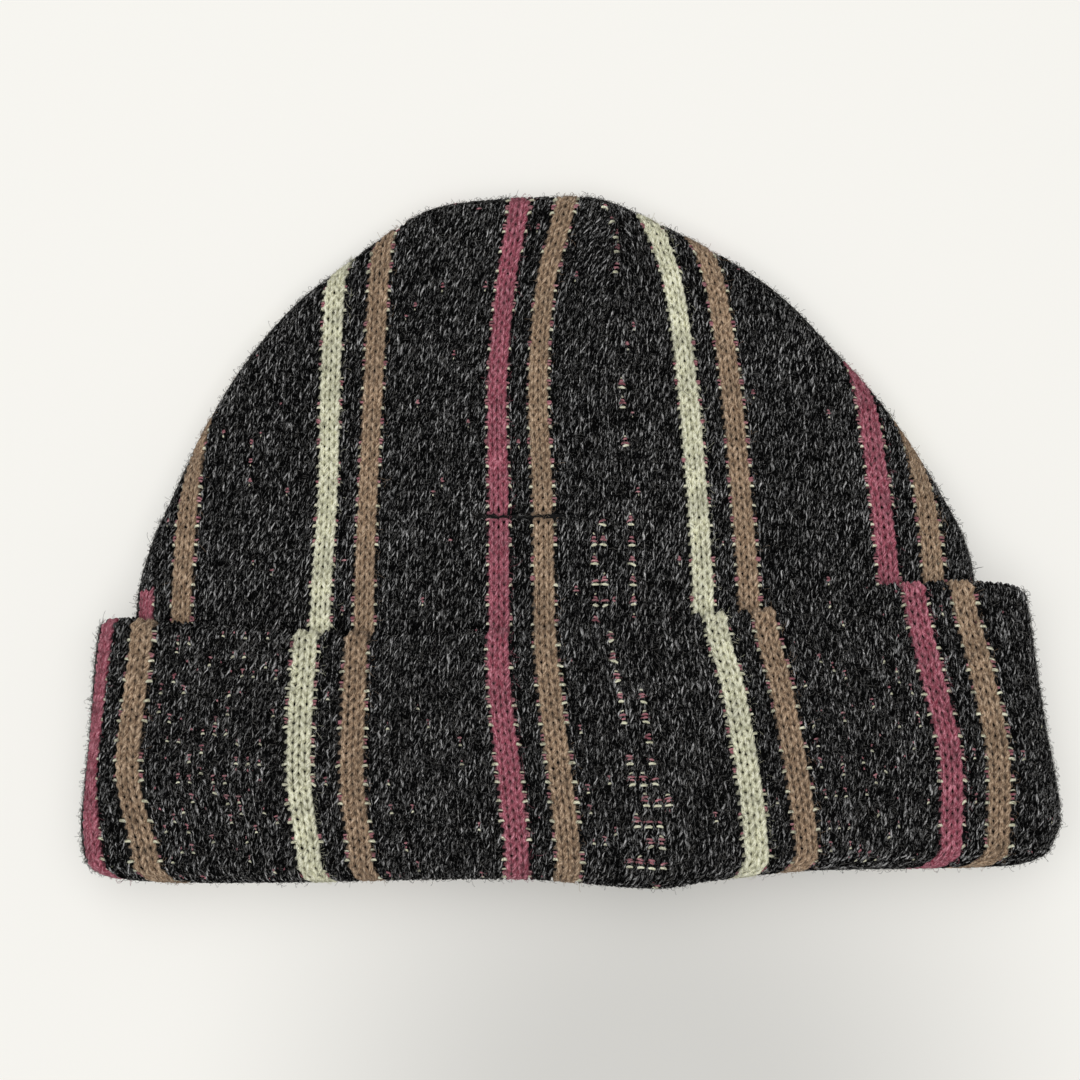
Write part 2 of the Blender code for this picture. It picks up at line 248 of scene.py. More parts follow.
class Sheet:
    """A surface sampled on a grid, which answers with its point and outward normal anywhere."""

    def __init__(self, xs, ys, place, facing):
        grid_x, grid_y = np.meshgrid(xs, ys, indexing="ij")
        self.low = (xs[0], ys[0])
        self.step = (xs[1] - xs[0], ys[1] - ys[0])
        self.points, self.inside = place(grid_x, grid_y)
        along_x = np.gradient(self.points, axis=0)
        along_y = np.gradient(self.points, axis=1)
        normal = np.cross(along_x, along_y) * facing
        self.normals = normal / np.maximum(np.linalg.norm(normal, axis=2, keepdims=True), 1e-9)

    def at(self, x, y):
        """Points, normals and depths inside the cloth's edge at a place and a course."""
        cells = self.points.shape
        fx = np.clip((x - self.low[0]) / self.step[0], 0, cells[0] - 1.001)
        fy = np.clip((y - self.low[1]) / self.step[1], 0, cells[1] - 1.001)
        i, j = fx.astype(int), fy.astype(int)
        tx, ty = fx - i, fy - j

        def mix(values):
            shape = tx.shape + (1,) * (values.ndim - 2)
            ax, ay = tx.reshape(shape), ty.reshape(shape)
            low = values[i, j] * (1 - ax) + values[i + 1, j] * ax
            high = values[i, j + 1] * (1 - ax) + values[i + 1, j + 1] * ax
            return low * (1 - ay) + high * ay

        normal = mix(self.normals)
        normal /= np.maximum(np.linalg.norm(normal, axis=-1, keepdims=True), 1e-9)
        return mix(self.points), normal, mix(self.inside)


def nearest_edge(points, line):
    """For each point: the closest point of a line, the line's inward normal there and the depth inside."""
    start, step = line[:-1], line[1:] - line[:-1]
    normals = np.stack([step[:, 1], -step[:, 0]], 1)
    normals /= np.linalg.norm(normals, axis=1, keepdims=True)
    corner = np.vstack([normals[:1], normals[:-1] + normals[1:], normals[-1:]])
    corner /= np.linalg.norm(corner, axis=1, keepdims=True)
    square = (step ** 2).sum(1)
    near, inward = np.empty_like(points), np.empty_like(points)
    for first in range(0, len(points), BLOCK):
        rows = slice(first, first + BLOCK)
        block = points[rows]
        offset = block[:, None] - start[None]
        t = np.clip((offset * step).sum(2) / square, 0, 1)
        miss = ((offset - t[:, :, None] * step) ** 2).sum(2)
        k = miss.argmin(1)
        share = t[np.arange(len(block)), k][:, None]
        near[rows] = start[k] + share * step[k]
        direction = corner[k] * (1 - share) + corner[k + 1] * share
        inward[rows] = direction / np.linalg.norm(direction, axis=1, keepdims=True)
    return near, inward, ((points - near) * inward).sum(1)


def shell_half(y):
    """Half the shell's thickness, to the middle of its yarn."""
    return SHELL_HALF + (CROWN_HALF - SHELL_HALF) * ease(y, THIN_FROM, THIN_TO) - YARN_DEPTH


def shell_middle(y):
    """How high the shell's middle lies over the floor."""
    back = SHELL_BACK + (CROWN_BACK - SHELL_BACK) * ease(y, SINK_FROM, SINK_TO)
    return back + SHELL_HALF + (CROWN_HALF - SHELL_HALF) * ease(y, THIN_FROM, THIN_TO)


dart_x = profile(DART)


def shell_relief(x, y):
    """Height changes of the shell's front: the crown dart, a crease and the softness of the knit."""
    depth, width, start, full = DART_VALLEY
    valley = -depth * bump_at(x, dart_x(y), width) * ease(y, start, full)
    height, away, width, start, full = DART_SHOULDERS
    shoulders = height * bump_at(np.abs(x - dart_x(y)), away, width) * ease(y, start, full)
    window = ease(x, CREASE_FROM - 6, CREASE_FROM + 2) * (1 - ease(x, CREASE_TO - 2, CREASE_TO + 6))
    crease = -CREASE_DEPTH * bump_at(y, CREASE_COURSE * BODY_COURSE, CREASE_WIDTH) * window
    soft = 0.35 * np.sin(x / 17.0 + 0.8) * np.sin(y / 21.0 + 0.4) + 0.25 * np.sin(x / 9.0 - y / 13.0)
    return valley + shoulders + crease + soft


def shell_place(side):
    """Places the shell's front (1) or back (-1) for a length across the cloth and a course."""
    line = smooth_curve(SHELL_EDGE, EDGE_POINTS)
    step = np.gradient(line, axis=0)
    inward = np.stack([step[:, 1], -step[:, 0]], 1)
    inward /= np.linalg.norm(inward, axis=1, keepdims=True)
    line = line + inward * YARN_DEPTH

    def place(x, course):
        flat = np.stack([x.ravel(), course.ravel() * BODY_COURSE], 1)
        near, into, depth = nearest_edge(flat, line)
        reach = shell_half(near[:, 1])
        across = depth + (math.pi / 2 - 1) * reach
        turn = np.clip(across / reach, -math.pi / 2, math.pi / 2)
        rolled = near + into * (reach * (1 - np.cos(turn)))[:, None]
        plan = np.where((turn < math.pi / 2 - 1e-6)[:, None], rolled, flat)
        lift = np.sin(turn)
        relief = shell_relief(plan[:, 0], plan[:, 1]) if side > 0 else 0.0
        height = shell_half(plan[:, 1]) * lift + relief * np.maximum(lift, 0) ** 2
        z = shell_middle(plan[:, 1]) + side * height
        points = np.stack([plan[:, 0], plan[:, 1], z], 1).reshape(x.shape + (3,))
        above_foot = plan[:, 1] - cuff_bottom(plan[:, 0]) - SHELL_FOOT
        return points, np.where(above_foot > 0, across, OUTSIDE).reshape(x.shape)

    return place


def rolled_section(x, left, right, half):
    """Across a flattened tube: place and height over its middle for a length across the cloth."""
    spare = (math.pi / 2 - 1) * half
    from_left, from_right = x - (left - spare), (right + spare) - x
    turn_left = np.clip(from_left / half, -math.pi / 2, math.pi / 2)
    turn_right = np.clip(from_right / half, -math.pi / 2, math.pi / 2)
    place = np.where(from_left < from_right,
                     np.where(turn_left < math.pi / 2, left + half * (1 - np.cos(turn_left)), x),
                     np.where(turn_right < math.pi / 2, right - half * (1 - np.cos(turn_right)), x))
    height = half * np.sin(np.minimum(turn_left, turn_right))
    return place, height, np.minimum(from_left, from_right)


cuff_left, cuff_right = profile(CUFF_LEFT), profile(CUFF_RIGHT)
cuff_top, cuff_bottom = profile(CUFF_TOP), profile(CUFF_BOTTOM)


def cuff_relief(x, y):
    """Height changes of the cuff's front: a shallow hollow along it and the softness of the knit."""
    soft = 0.30 * np.sin(x / 14.0 + 0.5) * np.sin(y / 15.0 + 1.0) + 0.25 * np.sin(x / 8.0 + y / 16.0)
    return soft - 0.5 * bump_at(y, 33, 16)


def cuff_place(side):
    """Places the cuff's front (1) or back (-1): its face, the turn-up below it and the hem above it."""

    def place(x, course):
        half = CUFF_HALF - YARN_DEPTH
        share = np.clip(course / CUFF_COURSES, 0, 1)
        side_y = CUFF_SIDES_FROM + share * CUFF_SIDES_SPAN
        rightward = ease(x, -60, 60)
        low = cuff_bottom(x) + TURN_DEPTH + TURN_ROOM
        high = cuff_top(x) - HEM_RADIUS
        y = low + share * (high - low)
        left = cuff_left(side_y + LEFT_LIFT * rightward) + YARN_DEPTH
        right = cuff_right(side_y + RIGHT_LIFT * rightward * share) - YARN_DEPTH
        plan_x, height, inside = rolled_section(x, left, right, half)
        flatness = np.clip(height / half, 0, 1)
        height = height + cuff_relief(plan_x, y) * flatness ** 2 * ease(share, 0, 0.12) * (side > 0)

        # Under the lower edge: round the turn-up and up the lining's inside.
        below = np.maximum(-course, 0) * CUFF_COURSE
        turn = np.clip(below / TURN_RADIUS, 0, math.pi)
        fraction = (x - left) / (right - left)
        inner_left, inner_right = LINING_LEFT - YARN_DEPTH, LINING_RIGHT + YARN_DEPTH
        inner_half = LINING_HALF + YARN_DEPTH
        inner_x, inner_height, _ = rolled_section(
            inner_left + fraction * (inner_right - inner_left), inner_left, inner_right, inner_half)
        middle_x, middle_z = (plan_x + inner_x) / 2, (height + inner_height) / 2
        half_x, half_z = (plan_x - inner_x) / 2, (height - inner_height) / 2
        turned_x = middle_x + half_x * np.cos(turn)
        turned_z = middle_z + half_z * np.cos(turn)
        turned_y = y - TURN_DEPTH * np.sin(turn) + np.maximum(below - math.pi * TURN_RADIUS, 0)
        lower = course < 0
        plan_x = np.where(lower, turned_x, plan_x)
        height = np.where(lower, turned_z, height)
        y = np.where(lower, turned_y, y)

        # Over the top: round the hem and down behind the cuff.
        above = np.maximum(course - CUFF_COURSES, 0) * CUFF_COURSE
        roll = np.clip(above / HEM_RADIUS, 0, math.pi)
        shrink = HEM_RADIUS * (1 - np.cos(roll))
        scale = np.where(course > CUFF_COURSES, 1 - shrink / half, 1.0)
        centre = (left + right) / 2
        over = course > CUFF_COURSES
        plan_x = np.where(over, centre + (plan_x - centre) * (1 - shrink / (right - centre)), plan_x)
        height = np.where(over, height * scale, height)
        y = y + np.where(over, HEM_RADIUS * np.sin(roll), 0)
        points = np.stack([plan_x, y, CUFF_HALF + side * height], -1)
        return points, inside

    return place


def shell_sheet(side):
    courses = np.arange(SHELL_COURSES[0] - 1, SHELL_COURSES[1], SHELL_STEP)
    return Sheet(np.arange(*SHELL_SPAN, GRID), courses, shell_place(side), side)


def cuff_sheet(side):
    courses = np.arange(-13, CUFF_COURSES + 3, CUFF_STEP)
    return Sheet(np.arange(*CUFF_SPAN, GRID), courses, cuff_place(side), side)


# The pattern: which wale has which colour, and where it runs.


class Pattern:
    """The stripes of one fabric, as wale numbers, colours and guide lines by course."""

    def __init__(self, stripes, heights, column, wale):
        self.heights, self.wale = np.array(heights, float), wale
        colours, offsets, centres = [], [], []
        shift = 0.0
        for stripe in stripes:
            colours += ["charcoal"] * stripe[1]
            offsets += [shift] * stripe[1]
            shift += LADDER
            centres.append(len(colours) + 0.5 + shift)
            colours += [stripe[0]] * 2
            offsets += [shift] * 2
            shift += LADDER
        self.colours = np.array(colours + ["charcoal"] * DARK_AFTER)
        self.offsets = np.array(offsets + [shift] * DARK_AFTER)
        striped = np.flatnonzero(self.colours != "charcoal")
        self.stripe_middle = np.zeros(len(self.colours))
        self.stripe_middle[striped] = np.repeat(striped[::2] + 0.5, 2)
        self.centres = np.array(centres)
        self.lines = np.array([stripe[column] for stripe in stripes])

    def guides(self, height):
        """Each stripe's centre line at the given heights."""
        spots = np.clip(height, self.heights[0], self.heights[-1])
        k = np.clip(np.searchsorted(self.heights, spots, side="right") - 1, 0, len(self.heights) - 2)
        t = (spots - self.heights[k]) / (self.heights[k + 1] - self.heights[k])
        before, after = np.maximum(k - 1, 0), np.minimum(k + 2, len(self.heights) - 1)
        return through(*(self.lines[:, n] for n in (before, k, k + 1, after)), t)

    def across(self, spot, height, closest=0.0):
        """Where a wale position lies across the cloth, and which side of the centre gap holds it."""
        lines = self.guides(height)
        k = np.clip(np.searchsorted(self.centres, spot) - 1, 0, len(self.centres) - 2)
        rows = np.arange(len(spot))
        low, high = lines[k, rows], lines[k + 1, rows]
        span = self.centres[k + 1] - self.centres[k]
        pitch = (high - low) / span
        x = low + (spot - self.centres[k]) * pitch
        x = np.where(spot < self.centres[0], lines[0] + (spot - self.centres[0]) * self.wale, x)
        x = np.where(spot > self.centres[-1], lines[-1] + (spot - self.centres[-1]) * self.wale, x)
        squeezed = (k == CENTRE_GAP - 1) & (pitch < closest)
        right_half = spot - self.centres[k] > span / 2
        from_left = low + (spot - self.centres[k]) * closest
        from_right = high - (self.centres[k + 1] - spot) * closest
        x = np.where(squeezed, np.where(right_half, from_right, from_left), x)
        side = np.where(squeezed, np.where(right_half, 1, -1), 0)
        return x, side


# A fabric and its yarns: runs of points with a radius, kept by colour until they are made into meshes.


class Fabric:
    """One knitted face: its sheet, its pattern, its yarns and where its dart runs."""

    def __init__(self, sheet, pattern, radius, dart=None, taken_in=math.inf):
        self.sheet, self.pattern, self.radius = sheet, pattern, radius
        self.dart, self.taken_in = dart, taken_in
        self.runs, self.fibres, self.bars = {}, {}, []

    def place(self, spot, course):
        """Points, normals and depth inside the cloth's edge at wale positions and courses."""
        x, side = self.pattern.across(spot, course, DART_WALE if self.dart else 0.0)
        points, normals, inside = self.sheet.at(x, course)
        if self.dart:
            past = side * (self.dart(course * BODY_COURSE) - x) + DART_EDGE
            inside = np.where((side != 0) & (past > 0), OUTSIDE, inside)
        return points, normals, inside

    def colours_at(self, course):
        """The wales' colours in a course, without the stripe that the left dart has taken in."""
        colours = self.pattern.colours
        if course > self.taken_in:
            colours = colours.copy()
            colours[:np.argmax(colours == "brown")] = "charcoal"
        return colours

    def knit(self, number):
        """Lays one course of stitches as looped yarns, a run for each stretch of one colour."""
        colours, offsets = self.colours_at(number), self.pattern.offsets
        t = np.arange(len(colours) * SAMPLES) / SAMPLES
        stitch = t.astype(int)
        phase = (t - stitch) * 2 * math.pi - math.pi
        uneven = rng.normal(0, LOOP_UNEVEN, (len(colours), 3))[stitch]
        spot = stitch + phase / (2 * math.pi) + LOOP_BULGE * np.sin(2 * phase) * (1 + uneven[:, 0])
        course = number + LOOP_RISE * (1 + uneven[:, 1]) * np.cos(phase) + uneven[:, 2] * 0.5
        shown = colours[stitch]
        striped = shown != "charcoal"
        away = spot - self.pattern.stripe_middle[stitch]
        spot = spot + offsets[stitch] + np.where(striped, away * (STRIPE_SPREAD - 1), 0)
        points, normals, inside = self.place(spot, course)
        points = points - normals * (LOOP_DEPTH * np.cos(2 * phase))[:, None]
        keep = inside > KNIT_EDGE
        if number == CREASE_COURSE:
            keep &= (points[:, 0] < CREASE_FROM) | (points[:, 0] > CREASE_TO)
        breaks = np.flatnonzero((keep[1:] != keep[:-1]) | (shown[1:] != shown[:-1])) + 1
        for first, last in zip(np.r_[0, breaks], np.r_[breaks, len(t)]):
            if keep[first] and last - first >= SHORTEST_RUN:
                run, out = tucked(points[first:last], normals[first:last])
                plump = STRIPE_PLUMP if striped[first] else DARK_PLUMP
                size = self.radius * (1 + rng.normal(0, YARN_UNEVEN)) * plump
                self.runs.setdefault(shown[first], []).append((run, out, size))

    def back_stack(self, spot, course, half, lift, full, rungs=LADDER_RUNGS):
        """Back yarns that show between two wales in every second course: a stack of short rungs."""
        for share, colour, rise, wide, sink, radius in rungs:
            if full >= share:
                self.bars.append((colour, spot, course + rise + rng.normal(0, 0.05),
                                  half * wide * rng.uniform(*RUNG_UNEVEN), lift - sink, radius))

    def show_back_yarns(self, courses, columns, chance_of):
        """Back yarns along the stripes' edges, in loose columns and as scattered flecks.

        A column is a wale, its first and last course and how often it shows in between.
        """
        offsets = self.pattern.offsets
        for course in courses[::2]:
            colours = self.colours_at(course)
            for wale in range(len(colours) - 1):
                left, right = colours[wale], colours[wale + 1]
                spot = wale + 0.5 + (offsets[wale] + offsets[wale + 1]) / 2
                wander = course + rng.integers(0, 2) * (left == right)
                column = sum(share for at, low, high, share in columns
                             if at == wale and low <= course < high)
                if left != right:
                    share, half, lift = LOOSE_RUNG if (left, right) in LOOSE_EDGES else TIGHT_RUNG
                    if rng.random() < share:
                        half = half * rng.uniform(*RUNG_UNEVEN)
                        self.back_stack(spot, course, half, lift, rng.random())
                elif left == "charcoal" and rng.random() < column:
                    self.back_stack(spot, course, 0.40, 0.85, 0.3 + 0.7 * rng.random())
                elif left == "charcoal" and rng.random() < chance_of(wale, course):
                    self.back_stack(spot, wander, rng.uniform(0.2, 0.34), 0.58, rng.random(), FLECK_RUNGS)

    def show_dart_yarns(self):
        """Back yarns down the dart's left side near the crown."""
        for course in DART_RUNGS:
            start = self.pattern.guides(np.array([float(course)]))[CENTRE_GAP - 1, 0]
            reach = (self.dart(course * BODY_COURSE) - start) / DART_WALE
            self.back_stack(self.pattern.centres[CENTRE_GAP - 1] + reach - 0.62, course, 0.38, 0.8, 0.9)

    def lay_bars(self):
        """Turns the collected stretches of back yarn into runs."""
        share = np.linspace(-1, 1, 6)
        middle, foot, half, lift = (np.array([bar[n] for bar in self.bars])[:, None] for n in (1, 2, 3, 4))
        spot = middle + half * share
        course = foot + 0.08 * (1 - share ** 2) + rng.normal(0, 0.07, middle.shape) * share
        lift = lift - 0.95 * np.abs(share) ** 4
        points, normals, inside = self.place(spot.ravel(), course.ravel())
        points = (points + normals * lift.ravel()[:, None]).reshape(-1, len(share), 3)
        normals = normals.reshape(points.shape)
        shown = inside.reshape(-1, len(share)).min(1) > RUNG_EDGE
        for k in np.flatnonzero(shown):
            self.runs.setdefault(self.bars[k][0], []).append((points[k], normals[k], self.bars[k][5]))

    def grow_fibres(self, count, courses):
        """Scatters stray fibres that leave the yarns, curl over the face and stand out at the edges."""
        spot = rng.uniform(0, len(self.pattern.colours), count)
        stitch = spot.astype(int)
        course = rng.uniform(*courses, count)
        points, normals, inside = self.place(spot + self.pattern.offsets[stitch], course)
        side = np.cross(normals, (0.0, 1.0, 0.0))
        side /= np.maximum(np.linalg.norm(side, axis=1, keepdims=True), 1e-9)
        up = np.cross(side, normals)
        turn = rng.uniform(0, 2 * math.pi, count)
        shape, scale, least = FIBRE_LENGTH
        length = rng.gamma(shape, scale, count) + least
        curl = rng.normal(0, FIBRE_CURL, count)
        rise = rng.gamma(*FIBRE_RISE, count)
        share = np.linspace(0, 1, 5)
        angle = turn[:, None] + curl[:, None] * share
        across = np.cumsum(np.cos(angle), 1) * length[:, None] / len(share)
        along = np.cumsum(np.sin(angle), 1) * length[:, None] / len(share)
        height = FIBRE_START + rise[:, None] * np.sin(share * rng.uniform(1.4, 3.0, count)[:, None])
        paths = (points[:, None] + side[:, None] * across[:, :, None] + up[:, None] * along[:, :, None]
                 + normals[:, None] * height[:, :, None])
        paths[:, :, 2] = np.maximum(paths[:, :, 2], FLOOR_ROOM)
        grown = (inside > 0) & ((inside < FIBRE_RIM) | (rng.random(count) < FIBRE_SHARE))
        for k in np.flatnonzero(grown):
            colour = self.colours_at(course[k])[stitch[k]]
            if colour == "charcoal" and rng.random() < GREY_SHARE:
                colour = "grey"
            out = np.repeat(normals[k][None], len(share), 0)
            self.fibres.setdefault(colour, []).append((paths[k], out, FIBRE_RADIUS))


def tucked(run, out):
    """Adds a short tail at both ends of a run, which goes into the fabric."""
    head = run[0] + (run[0] - run[1]) * 0.8 - out[0] * 0.7
    tail = run[-1] + (run[-1] - run[-2]) * 0.8 - out[-1] * 0.7
    return np.vstack([head, run, tail]), np.vstack([out[:1], out, out[-1:]])


def tube_mesh(name, runs, sides=SIDES):
    """One mesh of closed tubes with the attribute 'yarn': length along, and the twisted angle as cos, sin."""
    sizes = np.array([len(r[0]) for r in runs])
    points = np.concatenate([r[0] for r in runs])
    normals = np.concatenate([r[1] for r in runs])
    radius = np.repeat([r[2] for r in runs], sizes)
    starts = np.r_[0, np.cumsum(sizes)[:-1]]
    ends = starts + sizes - 1
    back, ahead = np.arange(len(points)) - 1, np.arange(len(points)) + 1
    back[starts], ahead[ends] = starts, ends
    tangent = points[ahead] - points[back]
    tangent /= np.maximum(np.linalg.norm(tangent, axis=1, keepdims=True), 1e-9)
    wide = np.cross(tangent, normals)
    wide /= np.maximum(np.linalg.norm(wide, axis=1, keepdims=True), 1e-9)
    up = np.cross(wide, tangent)
    angle = np.arange(sides) * 2 * math.pi / sides
    ring = (wide[:, None] * np.cos(angle)[None, :, None] + up[:, None] * np.sin(angle)[None, :, None])
    length = np.r_[0, np.cumsum(np.linalg.norm(points[1:] - points[:-1], axis=1))]
    turned = angle[None] + TWIST * length[:, None]
    ply = 1 + (PLIES * np.cos(2 * turned) if sides > FIBRE_SIDES else 0)
    corners = points[:, None] + ring * (radius[:, None] * ply)[:, :, None]
    corners[:, :, 1] += Y_BASE
    yarn = np.stack([np.broadcast_to(length[:, None], turned.shape), np.cos(turned), np.sin(turned)], 2)

    inner = np.ones(len(points), bool)
    inner[ends] = False
    at = np.flatnonzero(inner)[:, None] * sides
    k = np.arange(sides)[None]
    following = (k + 1) % sides
    quads = np.stack([at + k, at + following, at + sides + following, at + sides + k], 2).reshape(-1, 4)
    first_caps = starts[:, None] * sides + k[:, ::-1]
    last_caps = ends[:, None] * sides + k
    loops = np.concatenate([quads.ravel(), first_caps.ravel(), last_caps.ravel()])
    totals = np.concatenate([np.full(len(quads), 4), np.full(2 * len(runs), sides)])
    return raw_mesh(name, corners.reshape(-1, 3) * MM, loops, totals, yarn.reshape(-1, 3))


def raw_mesh(name, points, loops, totals, yarn=None):
    """A linked object from points in metres, corner indices and each face's number of corners."""
    mesh = bpy.data.meshes.new(name)
    mesh.vertices.add(len(points))
    mesh.vertices.foreach_set("co", points.astype(np.float32).ravel())
    mesh.loops.add(len(loops))
    mesh.loops.foreach_set("vertex_index", loops.astype(np.int32))
    mesh.polygons.add(len(totals))
    mesh.polygons.foreach_set("loop_start", np.r_[0, np.cumsum(totals)[:-1]].astype(np.int32))
    mesh.update(calc_edges=True)
    mesh.validate()
    if yarn is not None:
        mesh.attributes.new("yarn", "FLOAT_VECTOR", "POINT").data.foreach_set(
            "vector", yarn.astype(np.float32).ravel())
    mesh.shade_smooth()
    made = bpy.data.objects.new(name, mesh)
    bpy.context.collection.objects.link(made)
    return made


def make_pieces(prefix, runs_by_colour, body, sides):
    """Makes each colour's runs into pieces of a limited size that ride on a body."""
    made = []
    for colour, runs in runs_by_colour.items():
        group, size, number = [], 0, 1
        for run in runs + [None]:
            if group and (run is None or size + len(run[0]) > POINTS_PER_PIECE):
                piece = tube_mesh(f"{prefix}_{colour}_{number}", group, sides)
                piece.data.materials.append(SKINS[colour])
                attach(piece, body)
                made.append(piece)
                group, size, number = [], 0, number + 1
            if run is not None:
                group.append(run)
                size += len(run[0])
    return made


# Materials.


def srgb(*values):
    """A linear colour from 0 to 255 screen values."""
    linear = []
    for value in values:
        c = value / 255
        linear.append(c / 12.92 if c <= 0.04045 else ((c + 0.055) / 1.055) ** 2.4)
    return (*linear, 1.0)


def node(tree, kind, **inputs):
    """Adds a shader node with these input values."""
    made = tree.nodes.new(kind)
    for name, value in inputs.items():
        made.inputs[name.replace("_", " ")].default_value = value
    return made


def yarn_material(name, shades, spread, grain, sheen):
    """Spun yarn: strands that follow the twist, a marl of darker and lighter ones, and a soft sheen."""
    dark, main, light = (srgb(*shade) for shade in shades)
    skin = bpy.data.materials.new(name)
    skin.use_nodes = True
    tree = skin.node_tree
    shader = tree.nodes["Principled BSDF"]
    shader.inputs["Base Color"].default_value = main
    shader.inputs["Roughness"].default_value = 0.95
    shader.inputs["Specular IOR Level"].default_value = 0.05
    shader.inputs["Sheen Weight"].default_value = sheen
    shader.inputs["Sheen Roughness"].default_value = 0.5
    link = tree.links.new
    spun = node(tree, "ShaderNodeAttribute")
    spun.attribute_name = "yarn"
    stretch = node(tree, "ShaderNodeMapping", Scale=grain)
    link(spun.outputs["Vector"], stretch.inputs["Vector"])
    strands = node(tree, "ShaderNodeTexNoise", Scale=1.5, Detail=2.5, Roughness=0.58)
    link(stretch.outputs["Vector"], strands.inputs["Vector"])
    ramp = node(tree, "ShaderNodeValToRGB")
    link(strands.outputs["Fac"], ramp.inputs["Fac"])
    marks = ramp.color_ramp.elements
    marks[0].position, marks[0].color = spread[0], dark
    marks[1].position, marks[1].color = spread[2], light
    middle = marks.new(spread[1])
    middle.color = main
    place = node(tree, "ShaderNodeTexCoord")
    patches = node(tree, "ShaderNodeTexNoise", Scale=190.0, Detail=2.0)
    link(place.outputs["Object"], patches.inputs["Vector"])
    shade = node(tree, "ShaderNodeMapRange")
    shade.inputs["From Min"].default_value, shade.inputs["From Max"].default_value = 0.3, 0.7
    shade.inputs["To Min"].default_value, shade.inputs["To Max"].default_value = 0.78, 1.15
    link(patches.outputs["Fac"], shade.inputs["Value"])
    tint = node(tree, "ShaderNodeVectorMath")
    tint.operation = "SCALE"
    link(ramp.outputs["Color"], tint.inputs[0])
    link(shade.outputs["Result"], tint.inputs["Scale"])
    link(tint.outputs["Vector"], shader.inputs["Base Color"])
    bump = node(tree, "ShaderNodeBump", Strength=0.9, Distance=0.0004)
    link(strands.outputs["Fac"], bump.inputs["Height"])
    link(bump.outputs["Normal"], shader.inputs["Normal"])
    return skin


def cloth_material(name, colour):
    """The fabric behind the loops, matte and finely mottled: its near-black colour is partly the dark fabric
    behind and partly painted shade in the gaps between the loops.
    """
    skin = bpy.data.materials.new(name)
    skin.use_nodes = True
    tree = skin.node_tree
    shader = tree.nodes["Principled BSDF"]
    shader.inputs["Base Color"].default_value = colour
    shader.inputs["Roughness"].default_value = 1.0
    place = node(tree, "ShaderNodeTexCoord")
    grain = node(tree, "ShaderNodeTexNoise", Scale=900.0, Detail=3.0)
    tree.links.new(place.outputs["Object"], grain.inputs["Vector"])
    shade = node(tree, "ShaderNodeMapRange")
    shade.inputs["To Min"].default_value, shade.inputs["To Max"].default_value = 0.5, 1.5
    tree.links.new(grain.outputs["Fac"], shade.inputs["Value"])
    tint = node(tree, "ShaderNodeVectorMath")
    tint.operation = "SCALE"
    tint.inputs[0].default_value = colour[:3]
    tree.links.new(shade.outputs["Result"], tint.inputs["Scale"])
    tree.links.new(tint.outputs["Vector"], shader.inputs["Base Color"])
    return skin


def floor_material():
    """A plain white ground with painted light: it glows a little, so that the hat's shadow on it stays soft,
    and glows less round a place below the cuff, which is a painted shadow.
    """
    skin = bpy.data.materials.new("floor_white")
    skin.use_nodes = True
    tree = skin.node_tree
    shader = tree.nodes["Principled BSDF"]
    shader.inputs["Base Color"].default_value = srgb(196, 195, 191)
    shader.inputs["Roughness"].default_value = 0.95
    shader.inputs["Emission Color"].default_value = srgb(255, 253, 247)
    place = node(tree, "ShaderNodeTexCoord")
    # painted shadow: the floor's glow fades towards a place below the cuff
    away = node(tree, "ShaderNodeVectorMath")
    away.operation = "DISTANCE"
    away.inputs[1].default_value = SHADOW_SPOT_PLACE
    glow = node(tree, "ShaderNodeMapRange")
    glow.interpolation_type = "SMOOTHSTEP"
    glow.inputs["From Min"].default_value, glow.inputs["From Max"].default_value = SHADOW_SPOT_REACH
    glow.inputs["To Min"].default_value, glow.inputs["To Max"].default_value = FLOOR_GLOW
    tree.links.new(place.outputs["Object"], away.inputs[0])
    tree.links.new(away.outputs["Value"], glow.inputs["Value"])
    tree.links.new(glow.outputs["Result"], shader.inputs["Emission Strength"])
    return skin


SOFT, MARL = (0.36, 0.50, 0.66), (0.43, 0.54, 0.74)      # where dark, main and light shades lie
FINE, COARSE = (0.42, 1.6, 1.6), (0.20, 0.95, 0.95)     # strands along and round the yarn
SHADES = {
    "charcoal": ((4, 4, 4), (11, 11, 12), (210, 209, 208)),
    "cream": ((160, 157, 126), (236, 235, 205), (252, 250, 231)),
    "brown": ((94, 72, 54), (164, 138, 112), (214, 190, 164)),
    "pink": ((112, 36, 52), (168, 92, 107), (212, 150, 162)),
    "rose": ((128, 62, 74), (178, 112, 122), (222, 176, 178)),
    "grey": ((60, 58, 56), (110, 108, 104), (170, 166, 160)),
}
SKINS = {
    colour: yarn_material(f"{colour}_yarn", shades, MARL if colour == "charcoal" else SOFT,
                          COARSE if colour == "charcoal" else FINE, 0.0 if colour == "charcoal" else 0.1)
    for colour, shades in SHADES.items()
}
# near-black cloth: partly painted shade for the gaps between the loops
CLOTH = cloth_material("knit_back_and_painted_shade", srgb(9, 9, 9))


# Build.


def face_name(side):
    """The name of a face: its side is 1 at the front and -1 at the back."""
    return "front" if side > 0 else "back"


def shell_face(side):
    """One face of the outer shell: its looped yarns, back yarns, fibres and dark cloth."""
    heights = [height / BODY_COURSE for height in SHELL_HEIGHTS]
    pattern = Pattern(STRIPES if side > 0 else BACK_STRIPES, heights, 2, BODY_WALE)
    fabric = Fabric(shell_sheet(side), pattern, BODY_YARN, dart_x, TAKEN_IN if side > 0 else math.inf)
    for number in range(*SHELL_COURSES):
        fabric.knit(number)
    middle = gap_middle(pattern)
    columns = [(middle + 1, 20, 36, 0.95), (middle + 1, 36, 50, 0.3), (middle, 39, 62, 0.25),
               (middle - 3, 20, 34, 0.9), (middle - 2, 24, 36, 0.2)]
    fabric.show_dart_yarns()
    fabric.show_back_yarns(range(*SHELL_COURSES), columns, lambda wale, course: 0.045)
    return finish_face(fabric, "shell", side, (25, SHELL_COURSES[1]))


